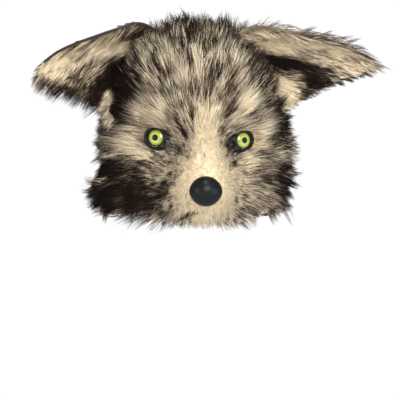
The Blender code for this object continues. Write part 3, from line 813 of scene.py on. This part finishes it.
earMarks = {
    # name, x, z, halfX, halfZ, turn, dark, cream
    "left_ear": [
        ("root", -72, 9, 24, 11, 20, 0.85, 0.30),
        ("lowerLeaf", -139, -68, 40, 23, 22, 0.84, 0.35),
        ("middle", -129, -28, 22.5, 12, 20, 0.30, 0.80),
        ("brownMiddle", -128, -36, 26, 6, 32, 0.60, 0.50),
        ("upperCream", -95, -8, 27.1, 11.3, 12, 0.03, 1.00),
        ("tipCream", -159, -26, 12.3, 7.8, 15, 0.00, 1.00),
        # painted shadow: the ear's hollow and the valley of its fold, near black
        ("paintedHollowShadow", -89, -48, 19, 27, 0, 1.00, 0.00),
        ("paintedCreaseShadow", -110, -56, 10, 44, -32, 0.98, 0.00),
        ("tongue", -99, -69, 9, 9, 0, 0.00, 1.00),
        ("tongueTip", -110, -85, 5, 10, -42, 0.66, 0.60),
    ],
    "right_ear": [
        ("topRoot", 75, 15, 23, 9, 0, 0.82, 0.35),
        ("upperCream", 114, 5, 63.8, 13.7, -6, 0.04, 1.00),
        ("brownStreaks", 137, -7, 22.8, 5.7, -6, 0.42, 0.60),
        ("tip", 186, -13, 13.7, 16, 0, 0.34, 0.70),
        ("lowerLeaf", 119, -29, 29.6, 9.1, -5, 0.58, 0.50),
        # painted shadow: band is the shade under the ear's folded-over upper wall
        ("band", 101, -17, 56.9, 8, -8, 1.00, 0.00),
        ("lobes", 144, -37, 21, 13, 10, 0.93, 0.10),
        ("lobeLow", 132, -54, 10.3, 10.3, 0, 0.82, 0.20),
        # painted shadow: root darkens the ear's root where the ear shades the face
        ("root", 80, -32, 10.2, 14.8, 0, 0.88, 0.15),
        ("patch", 107, -49, 11.4, 13.7, 0, 0.00, 1.00),
    ],
}


# Rows of a table at shares of the way down it, on a smooth curve
def throughRows(table, share):
    place = share * (len(table) - 1)
    start = np.minimum(place.astype(int), len(table) - 2)
    t = (place - start)[:, None]
    a, b, c, d = (table[np.clip(start + k, 0, len(table) - 1)] for k in (-1, 0, 1, 2))
    return 0.5 * (2 * b + (c - a) * t + (2 * a - 5 * b + 4 * c - d) * t**2 + (3 * b - a - 3 * c + d) * t**3)


# Places on an ear: along 0 to 1 from hidden root to tip, across -1 to 1 from lower to upper edge
def earPlaces(look, along, across, depth):
    axis, facing = np.array(look["axis"]), np.array(look["facing"])
    upward = np.cross(facing, axis) * look["side"]
    share, wide, curl, sag = throughRows(earRows, along).T
    curl = np.radians(curl)
    radius = wide * look["width"] / curl
    turn = across * curl / 2
    back = np.cos(turn) * radius - radius * (1 + np.cos(curl / 2)) / 2
    middle = np.array(look["root"]) + axis * (share * look["length"])[:, None]
    middle[:, 2] -= sag * look["length"]
    wall = upward * np.sin(turn)[:, None] - facing * np.cos(turn)[:, None]
    places = middle + upward * (np.sin(turn) * radius)[:, None] - facing * back[:, None]
    return (places + wall * depth) * mm, wall


# The sewn edge of an ear shows as a dark line
def earColours(node, places, along, across):
    look = earLooks[node]
    dark, cream = coatColours(places, earMarks[node], *look["coat"])
    rim = look["rim"] * smoothStep(0.91, 0.99, across) * (0.7 + 0.3 * smoothStep(0.35, 0.55, along))
    rim = np.maximum(rim, 0.9 * (1 - smoothStep(-1.0, -0.65, across)) * smoothStep(0.5, 0.7, along))
    return dark + rim * (1 - dark), cream * (1 - rim)


def buildEar(node, tree, material):
    look = earLooks[node]
    bpy.ops.mesh.primitive_grid_add(x_subdivisions=40, y_subdivisions=30, size=2)
    leaf = bpy.context.object
    leaf.name = node + "_leaf"
    flat = pointsOf(leaf)
    along = 0.14 + 0.86 * (flat[:, 0] + 1) / 2
    places, wall = earPlaces(look, along, flat[:, 1], 0.0)
    movePoints(leaf, places)
    markPoints(leaf, *earColours(node, places, along, flat[:, 1]))
    if np.array(leaf.data.polygons[0].normal) @ wall[0] < 0:
        leaf.data.flip_normals()
    deep = standOff(places, tree)[0][:, 0] < -1.4 * mm  # the root ends in the coat, where it is sewn on
    dropFaces(leaf, [any(deep[v] for v in face.vertices) for face in leaf.data.polygons])
    addModifier(leaf, "SOLIDIFY", thickness=3.0 * mm, offset=0.0, use_rim=True)
    applyAll(leaf)
    smoothByAngle(leaf, 50)
    return finishPiece(leaf, material, frameSlot(node), node)


def growEar(node, tree, material):
    look = earLooks[node]
    chance = np.random.default_rng(look["seed"])
    count = look["strands"]
    along = chance.uniform(0.12, 1.0, count * 3)
    across = chance.uniform(-1, 1, count * 3)
    wide = throughRows(earRows, along)[:, 1]
    kept = chance.random(len(along)) < wide
    along, across = along[kept][:count], across[kept][:count]
    outside = chance.random(len(along)) < 0.32
    depth = np.where(outside, 1.2, -1.2)[:, None]
    roots, wall = earPlaces(look, along, across, depth)
    free = standOff(roots, tree)[0][:, 0] > 0.2 * mm
    grown = (along, across, outside, depth, roots, wall)
    along, across, outside, depth, roots, wall = (part[free] for part in grown)
    ahead = unit(earPlaces(look, along + 0.01, across, depth)[0] - earPlaces(look, along - 0.01, across, depth)[0])
    beside = unit(earPlaces(look, along, across + 0.02, depth)[0] - earPlaces(look, along, across - 0.02, depth)[0])
    up = np.where(outside[:, None], wall, -wall)
    fringeLength, fringeComb, fringeLift = look["fringe"]
    reach = smoothStep(0.15, 0.6, along)  # the fringe grows longer away from the head
    fringe = smoothStep(0.35, 0.85, across) * reach * (fringeLength > 0)
    comb = np.interp(across, (-1, 0, 1), look["comb"])
    comb = np.where(outside, -0.15, comb) * (1 - fringe) + fringeComb * fringe
    flow = unit(ahead + beside * comb[:, None])
    flow = unit(flow + np.cross(up, flow) * chance.normal(0, 0.16, len(along))[:, None])
    lowEdge = (1 - smoothStep(-1.0, -0.2, across)) * ~outside
    tip = smoothStep(0.8, 1.0, along)
    length = np.where(outside, 13, look["hair"]) + look["edgeLength"] * lowEdge * (1 - 0.7 * tip)
    rootTuft = smoothStep(0.75, 0.95, across) * (1 - smoothStep(0.35, 0.55, along))
    length = length + fringeLength * fringe + 4 * rootTuft
    topEdge = smoothStep(0.5, 0.95, across) * outside * (fringeLength == 0)
    length = length * (1 - 0.45 * topEdge)
    lift = np.where(outside, 16 - 2 * topEdge + fringeLift * fringe, 9) + 24 * rootTuft
    lift = lift + chance.normal(0, 3, len(along))
    length = length * mm * chance.uniform(0.72, 1.15, len(along))
    paths = growPaths(roots, up, flow, length, lift, 4, 8, look["droop"])
    paths, locks = gather(paths, 1500, 0.5, 1.3, chance)
    paths, tufts = gather(paths, 500, 0.4, 1.5, chance)
    dark, cream = earColours(node, paths[:, -2], along, across)
    dark = np.where(outside, look["back"], dark + 0.35 * fringe * (1 - dark))
    cream = np.where(outside, 0.35, cream)
    facts = {
        "dark": darkHairs(dark, locks, tufts, chance, (0.45, 0.15, 0.4), 3.4),
        "cream": np.clip(cream + chance.normal(0, 0.10, len(along)), 0, 1),
        # painted light: ear hair is made brighter by this amount to make up for the shade the curled ear stands in
        "tone": hairTone(locks, chance) + look["paintedBrightening"],
    }
    width = 0.72 * mm * chance.uniform(0.7, 1.2, len(along))
    pile = strandMesh(node + "_pile", paths, unit(np.cross(up, flow)), width, facts)
    finishPiece(pile, material, frameSlot(node))
    print(pile.name, len(along), "strands")
    return pile


# Eyes: a black lipped almond, a domed iris with its pupil, and a patch of see-through net

irisLook = {"radius": 9.35, "base": 2.475, "dome": 4.2, "pupil": 3.5, "pupilStand": 0.75}


def placedBy(item, matrix):
    item.data.transform(matrix)
    if matrix.determinant() < 0:  # the two eyes mirror each other
        item.data.flip_normals()
    item.matrix_world = Matrix.Identity(4)
    return item


def almondOutline(grow, steps):
    half = eyeShape["long"] / 2 + grow
    places = []
    for k in range(steps):
        turn = 2 * math.pi * k / steps
        tall = (eyeShape["upper"] if turn < math.pi else eyeShape["lower"]) + grow
        rise = math.copysign(abs(math.sin(turn)) ** 0.8, math.sin(turn))
        places.append((half * math.cos(turn) - eyeShape["offset"], tall * rise, 0.0))
    return np.array(places) * mm


def glossBlack(name):
    bench = newMaterial(name, Roughness=0.2, Specular_IOR_Level=0.25, IOR=1.3)
    place = bench.objectPlace()
    dust = bench.noise(place, 220.0, 4.0)
    bench.feed("Base Color", bench.mix(dust, (0.002, 0.002, 0.002), (0.010, 0.009, 0.008)))
    bench.feed("Roughness", 0.12 + 0.16 * dust)
    bench.bump(bench.noise(place, 600.0, 2.0), 0.12, 0.2 * mm)
    return bench.material


def irisMaterial():
    bench = newMaterial("irisGreen", Roughness=0.12, Coat_Weight=1.0, Coat_Roughness=0.03)
    place = bench.attribute("place", 1)
    far = bench.node("ShaderNodeVectorMath", {"operation": "LENGTH"}, {0: place}, output=1)
    around = bench.node("ShaderNodeVectorMath", {"operation": "NORMALIZE"}, {0: place})
    rays = bench.noise(around, 9.0, 5.0)
    spread = far + 0.10 * (rays - 0.5)
    stops = [
        (0.0, (0.02, 0.03, 0.01)),
        (0.37, (0.56, 0.57, 0.16)),
        (0.47, (0.44, 0.48, 0.075)),
        (0.74, (0.29, 0.35, 0.03)),
        (0.89, (0.12, 0.17, 0.014)),
        (1.0, (0.008, 0.014, 0.004)),
    ]
    ring = bench.node("ShaderNodeValToRGB", {"stops": stops}, {0: spread})
    bench.feed("Base Color", bench.brightness(ring, 0.62 + 0.5 * rays))
    return bench.material


def buildEye(side, word, materials):
    matrix = eyeMatrices[side]
    bpy.ops.mesh.primitive_circle_add(vertices=64, radius=1, fill_type="NGON")
    rim = bpy.context.object
    rim.name = word + "_eye_surround"
    movePoints(rim, almondOutline(0.0, 64))
    pick(rim)
    bpy.ops.object.mode_set(mode="EDIT")
    bpy.ops.mesh.select_all(action="SELECT")
    raised = {"value": (0, 0, 6.2 * mm)}
    bpy.ops.mesh.extrude_region_move(TRANSFORM_OT_translate=raised)
    bpy.ops.mesh.inset(thickness=1.0 * mm, depth=1.0 * mm)
    bpy.ops.mesh.inset(thickness=1.6 * mm, depth=0.1 * mm)
    bpy.ops.mesh.inset(thickness=1.0 * mm, depth=-1.4 * mm)
    bpy.ops.mesh.inset(thickness=1.5 * mm, depth=-0.3 * mm)
    bpy.ops.mesh.select_all(action="SELECT")
    bpy.ops.mesh.normals_make_consistent(inside=False)
    bpy.ops.object.mode_set(mode="OBJECT")
    addModifier(rim, "BEVEL", width=0.35 * mm, segments=2, limit_method="ANGLE")
    applyAll(rim)
    bpy.ops.mesh.primitive_cylinder_add(vertices=64, radius=(irisLook["radius"] + 0.3) * mm, depth=30 * mm)
    cutAway(rim, bpy.context.object)
    low = Matrix.Translation((0, 0, -eyeShape["reach"] * mm))
    bpy.ops.mesh.primitive_cylinder_add(vertices=32, radius=1, depth=30 * mm)
    window = bpy.context.object
    window.data.transform(Matrix.Diagonal((4.75 * mm, 4.5 * mm, 1, 1)))
    window.data.transform(Matrix.Translation((netLook["x"] * mm, netLook["y"] * mm, 0)))
    cutAway(rim, window)
    placedBy(rim, matrix @ low)
    smoothByAngle(rim, 35)
    finishPiece(rim, materials["rim"], "eye_black", word + "_eye_rim")

    bpy.ops.mesh.primitive_uv_sphere_add(segments=48, ring_count=24, radius=1)
    iris = bpy.context.object
    iris.name = word + "_iris_dome"
    pick(iris)
    bpy.ops.object.mode_set(mode="EDIT")
    bpy.ops.mesh.select_all(action="SELECT")
    bpy.ops.mesh.bisect(plane_co=(0, 0, 0), plane_no=(0, 0, 1), clear_inner=True, use_fill=True)
    bpy.ops.mesh.select_all(action="DESELECT")
    bpy.ops.object.mode_set(mode="OBJECT")
    for face in iris.data.polygons:
        face.select = face.normal.z < -0.9
    bpy.ops.object.mode_set(mode="EDIT")
    bpy.ops.mesh.extrude_region_move(TRANSFORM_OT_translate={"value": (0, 0, -1.0)})
    bpy.ops.mesh.select_all(action="SELECT")
    bpy.ops.mesh.normals_make_consistent(inside=False)
    bpy.ops.object.mode_set(mode="OBJECT")
    local = pointsOf(iris)
    tall = np.where(local[:, 2] < 0, irisLook["base"] + eyeShape["reach"], irisLook["dome"])
    shaped = np.stack([local[:, 0] * irisLook["radius"], local[:, 1] * irisLook["radius"], local[:, 2] * tall], 1)
    shaped[:, 2] += irisLook["base"]
    movePoints(iris, shaped * mm)
    layer = iris.data.attributes.new("place", "FLOAT_VECTOR", "POINT")
    flat = np.stack([local[:, 0], local[:, 1], np.zeros(len(local))], 1)
    flat[local[:, 2] < -0.01] = (1.2, 0, 0)  # black behind
    layer.data.foreach_set("vector", flat.ravel().astype(np.float32))
    placedBy(iris, matrix)
    smoothByAngle(iris, 40)
    finishPiece(iris, materials["iris"], "iris_green", word + "_iris")

    bpy.ops.mesh.primitive_uv_sphere_add(segments=32, ring_count=16, radius=1)
    pupil = bpy.context.object
    pupil.name = word + "_pupil_dome"
    pick(pupil)
    size = irisLook["pupil"] * mm
    top = (irisLook["base"] + irisLook["dome"]) * mm
    pupil.data.transform(Matrix.Diagonal((size, size, irisLook["pupilStand"] * mm, 1)))
    pupil.data.transform(Matrix.Translation((0, 0, top - 0.15 * mm)))
    placedBy(pupil, matrix)
    smoothByAngle(pupil, 60)
    finishPiece(pupil, materials["pupil"], "pupil_black", word + "_pupil")
    buildNet(side, word, matrix, materials["net"])


netLook = {"threads": 15, "wide": 9.3, "tall": 8.8, "thickness": 0.5, "level": 1.4, "x": -15.0, "y": -0.8}


# Crossed threads that weave over and under each other
def buildNet(side, word, matrix, material):
    count = netLook["threads"]
    steps = 4 * count
    runs, sideways = [], []
    for way in (0, 1):
        longSize, crossSize = (netLook["wide"], netLook["tall"]) if way == 0 else (netLook["tall"], netLook["wide"])
        for n in range(count):
            offset = (n / (count - 1) - 0.5) * crossSize
            reach = 0.5 * longSize * math.sqrt(max(1 - (offset / crossSize * 1.9) ** 2, 0.02))
            t = np.linspace(-1, 1, steps + 1)
            sway = 0.16 * np.cos(t * reach / longSize * 2 * math.pi * (count - 1) / 2 + math.pi * (n + way))
            line = np.stack([t * reach, np.full(steps + 1, offset), netLook["level"] + sway], 1)
            runs.append(line if way == 0 else line[:, [1, 0, 2]])
    pieces, triangles = [], []
    first = 0
    for run in runs:
        ahead = unit(np.gradient(run, axis=0))
        beside = unit(np.cross(ahead, [0, 0, 1.0]))
        upward = np.cross(beside, ahead)
        rings = []
        for k in range(4):
            angle = math.pi / 2 * k + math.pi / 4
            rings.append(run + netLook["thickness"] / 2 * (beside * math.cos(angle) + upward * math.sin(angle)))
        points = np.stack(rings, 1).reshape(-1, 3)
        for s in range(steps):
            for k in range(4):
                a, b = s * 4 + k, s * 4 + (k + 1) % 4
                triangles += [(first + a, first + b, first + a + 4), (first + b, first + b + 4, first + a + 4)]
        end = steps * 4
        triangles += [(first, first + 2, first + 1), (first, first + 3, first + 2)]
        triangles += [(first + end, first + end + 1, first + end + 2), (first + end, first + end + 2, first + end + 3)]
        pieces.append(points)
        first += len(points)
    places = (np.concatenate(pieces) + np.array([netLook["x"], netLook["y"], 0])) * mm
    net = meshFromArrays(word + "_sight_net", places, np.array(triangles))
    pick(net)
    bpy.ops.object.mode_set(mode="EDIT")
    bpy.ops.mesh.select_all(action="SELECT")
    bpy.ops.mesh.normals_make_consistent(inside=False)
    bpy.ops.object.mode_set(mode="OBJECT")
    placedBy(net, matrix)
    finishPiece(net, material, "sight_mesh", word + "_sight_mesh")


# Nose: a satin black moulded ball with its peg

noseLook = {"depth": 27, "flatAt": 0.3, "peg": 9, "pegLength": 9}
noseLow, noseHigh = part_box("nose")
noseMiddle = Vector(((noseLow.x + noseHigh.x) / 2, noseLow.y + noseLook["depth"] / 2 * mm, (noseLow.z + noseHigh.z) / 2))


def noseMaterial():
    bench = newMaterial("noseRubber", Roughness=0.34, Specular_IOR_Level=0.3, IOR=1.3)
    place = bench.objectPlace()
    pebbles = bench.node("ShaderNodeTexVoronoi", {}, {"Vector": place, "Scale": 900.0})
    patches = bench.noise(place, 140.0, 4.0)
    bench.feed("Base Color", bench.mix(patches, (0.002, 0.003, 0.003), (0.011, 0.011, 0.012)))
    bench.feed("Roughness", 0.26 + 0.16 * patches)
    bench.bump(pebbles, 0.25, 0.25 * mm)
    return bench.material


def buildNose(look):
    bpy.ops.mesh.primitive_uv_sphere_add(segments=64, ring_count=32, radius=1, rotation=(math.pi / 2, 0, 0))
    nose = bpy.context.object
    nose.name = "nose_ball"
    bpy.ops.object.transform_apply(location=True, rotation=True, scale=True)
    pick(nose)
    flat = 2 * look["flatAt"]
    bpy.ops.object.mode_set(mode="EDIT")
    bpy.ops.mesh.select_all(action="SELECT")
    bpy.ops.mesh.bisect(plane_co=(0, flat, 0), plane_no=(0, 1, 0), clear_outer=True, use_fill=True)
    bpy.ops.mesh.select_all(action="DESELECT")
    bpy.ops.object.mode_set(mode="OBJECT")
    for face in nose.data.polygons:
        face.select = face.normal.y > 0.95
    bpy.ops.object.mode_set(mode="EDIT")
    bpy.ops.mesh.inset(thickness=0.3)
    bpy.ops.mesh.extrude_region_move(TRANSFORM_OT_translate={"value": (0, 2 * look["pegLength"] / look["depth"], 0)})
    bpy.ops.object.mode_set(mode="OBJECT")
    local = pointsOf(nose)
    half = np.array([(noseHigh.x - noseLow.x) / 2, look["depth"] / 2 * mm, (noseHigh.z - noseLow.z) / 2])
    pinch = 1 - 0.07 * np.maximum(-local[:, 2], 0) - 0.05 * np.maximum(local[:, 2], 0)
    shaped = local * half
    shaped[:, 0] *= pinch
    stem = local[:, 1] > flat + 0.01
    away = np.linalg.norm(shaped[:, [0, 2]], axis=1)
    size = look["peg"] / 2 * mm / np.maximum(away, 1e-9)
    shaped[stem, 0] *= size[stem]
    shaped[stem, 2] *= size[stem]
    movePoints(nose, shaped + np.array(noseMiddle))
    smoothByAngle(nose, 50)
    finishPiece(nose, noseMaterial(), "nose_black", "nose")
    return nose


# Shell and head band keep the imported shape, merged and shaded smooth


def shellMaterial():
    bench = newMaterial("mouldedShell", Roughness=0.62, Specular_IOR_Level=0.35)
    place = bench.objectPlace()
    grain = bench.noise(place, 420.0, 4.0)
    clouds = bench.noise(place, 26.0, 3.0)
    bench.feed("Base Color", bench.mix(clouds, (0.014, 0.014, 0.015), (0.040, 0.039, 0.038)))
    bench.feed("Roughness", 0.5 + 0.3 * grain)
    bench.bump(grain, 0.35, 0.3 * mm)
    return bench.material


def elasticMaterial():
    bench = newMaterial("wovenElastic", Roughness=0.78, Sheen_Weight=0.2)
    place = bench.objectPlace()
    height = bench.node("ShaderNodeSeparateXYZ", {}, {0: place}, output=2)
    ribs = bench.node("ShaderNodeMath", {"operation": "SINE"}, {0: height * (2 * math.pi / (1.7 * mm))})
    threads = bench.noise(place, 1400.0, 2.0)
    weave = 0.5 + 0.35 * ribs + 0.3 * (threads - 0.5)
    bench.feed("Base Color", bench.mix(weave.limited(), (0.008, 0.008, 0.008), (0.05, 0.048, 0.046)))
    bench.bump(weave, 0.6, 0.35 * mm)
    return bench.material


# Light, floor and camera

cameraLook = {"azimuth": -5.5, "distance": 2.0, "lens": 163.6, "roll": 1.5, "y": -0.104, "z": -0.1776, "x": 0.0009}
studioLook = {
    "ambient": 0.33,
    "floor": -0.75,
    "lamps": (
        # name, place, size, power
        ("frontBox", (0.2, -2.0, 0.5), 0.9, 38),
        ("leftBox", (-1.5, -1.3, -0.1), 1.0, 15),
        ("rightBox", (1.5, -1.3, -0.1), 1.0, 15),
        ("topBox", (0.0, -1.0, 1.5), 0.4, 15),
        ("backBox", (0.3, 1.9, 0.5), 1.2, 12),
    ),
}


def buildStage(look):
    bpy.ops.mesh.primitive_plane_add(size=5, location=(0, 0, look["floor"]))
    floor = bpy.context.object
    floor.name = "floor"
    bench = newMaterial("paleFloor", Roughness=0.9)
    speckle = bench.noise(bench.objectPlace(), 6.0, 2.0)
    bench.feed("Base Color", bench.mix(speckle, (0.90, 0.90, 0.90), (0.93, 0.93, 0.93)))
    floor.data.materials.append(bench.material)
    world = bpy.data.worlds.new("whiteStudio")
    world.use_nodes = True
    air = Bench(world.node_tree)
    seen = air.node("ShaderNodeLightPath")  # the backdrop is white, and the room lights more softly
    background = world.node_tree.nodes["Background"].inputs
    background["Color"].default_value = (1, 1, 1, 1)
    world.node_tree.links.new((look["ambient"] + (1.04 - look["ambient"]) * seen).socket, background["Strength"])
    bpy.context.scene.world = world
    for name, place, size, power in look["lamps"]:
        lamp = bpy.data.lights.new(name, "AREA")
        lamp.size = size
        lamp.energy = power
        item = bpy.data.objects.new(name, lamp)
        item.location = place
        aim = Vector((0, -0.06, -0.1)) - Vector(place)
        item.rotation_euler = aim.to_track_quat("-Z", "Y").to_euler()
        bpy.context.scene.collection.objects.link(item)
    bpy.context.scene.view_settings.view_transform = "Standard"


def buildCamera(look):
    turn = math.radians(look["azimuth"])
    back = Vector((math.sin(turn), -math.cos(turn), 0))
    right = Vector((math.cos(turn), math.sin(turn), 0))
    lens = bpy.data.cameras.new("photoCamera")
    lens.lens = look["lens"]
    lens.sensor_width = 36
    camera = bpy.data.objects.new("photoCamera", lens)
    bpy.context.scene.collection.objects.link(camera)
    matrix = Matrix((right, back.cross(right), back)).transposed().to_4x4()
    target = Vector((0, look["y"], look["z"])) + right * look["x"]
    matrix.translation = target + back * look["distance"]
    camera.matrix_world = matrix @ Matrix.Rotation(math.radians(look["roll"]), 4, "Z")
    bpy.context.scene.camera = camera


def buildCoat(pile, knit):
    backing = buildBacking(backingSizes)
    markPoints(backing, *faceColours(pointsOf(backing)))
    tree = BVHTree.FromObject(backing, bpy.context.evaluated_depsgraph_get())
    panels = panelOfPlaces(pointsOf(backing)[trianglesOf(backing)].mean(1))
    facePanels = panelOfPlaces(np.array([face.center for face in backing.data.polygons]))
    print("backing", len(facePanels), "faces")
    for node in panelLooks:
        fur = growPanel(node, backing, panels == node, tree, pile)
        sheet = bpy.data.objects.new(node.replace("fur", "backing"), backing.data.copy())
        bpy.context.scene.collection.objects.link(sheet)
        dropFaces(sheet, facePanels != node)
        addModifier(sheet, "SOLIDIFY", thickness=backingSizes["thickness"], offset=1.0, use_rim=True)
        applyAll(sheet)
        finishPiece(sheet, knit, frameSlot(node), node)
    bpy.data.objects.remove(backing)
    print("face fur done")
    return tree


def buildMask():
    pile = furMaterial("fauxFur", furLook)
    knit = knitMaterial("dyedKnit")
    tree = buildCoat(pile, knit)
    for node in earLooks:
        leaf = buildEar(node, tree, knit)
        growEar(node, tree, pile)
    print("ears done")
    black = glossBlack("eyeBlack")
    eyeMaterials = {"rim": black, "iris": irisMaterial(), "pupil": glossBlack("pupilBlack"), "net": black}
    for side, word in ((-1, "left"), (1, "right")):
        buildEye(side, word, eyeMaterials)
    buildNose(noseLook)
    print("eyes and nose done")
    shell = smoothByAngle(meshCopy("face_shell", "moulded_shell"), 35)
    finishPiece(shell, shellMaterial(), "shell", "face_shell")
    band = smoothByAngle(meshCopy("head_band", "elastic_band"), 35)
    finishPiece(band, elasticMaterial(), "elastic", "head_band")


buildMask()
buildStage(studioLook)
buildCamera(cameraLook)
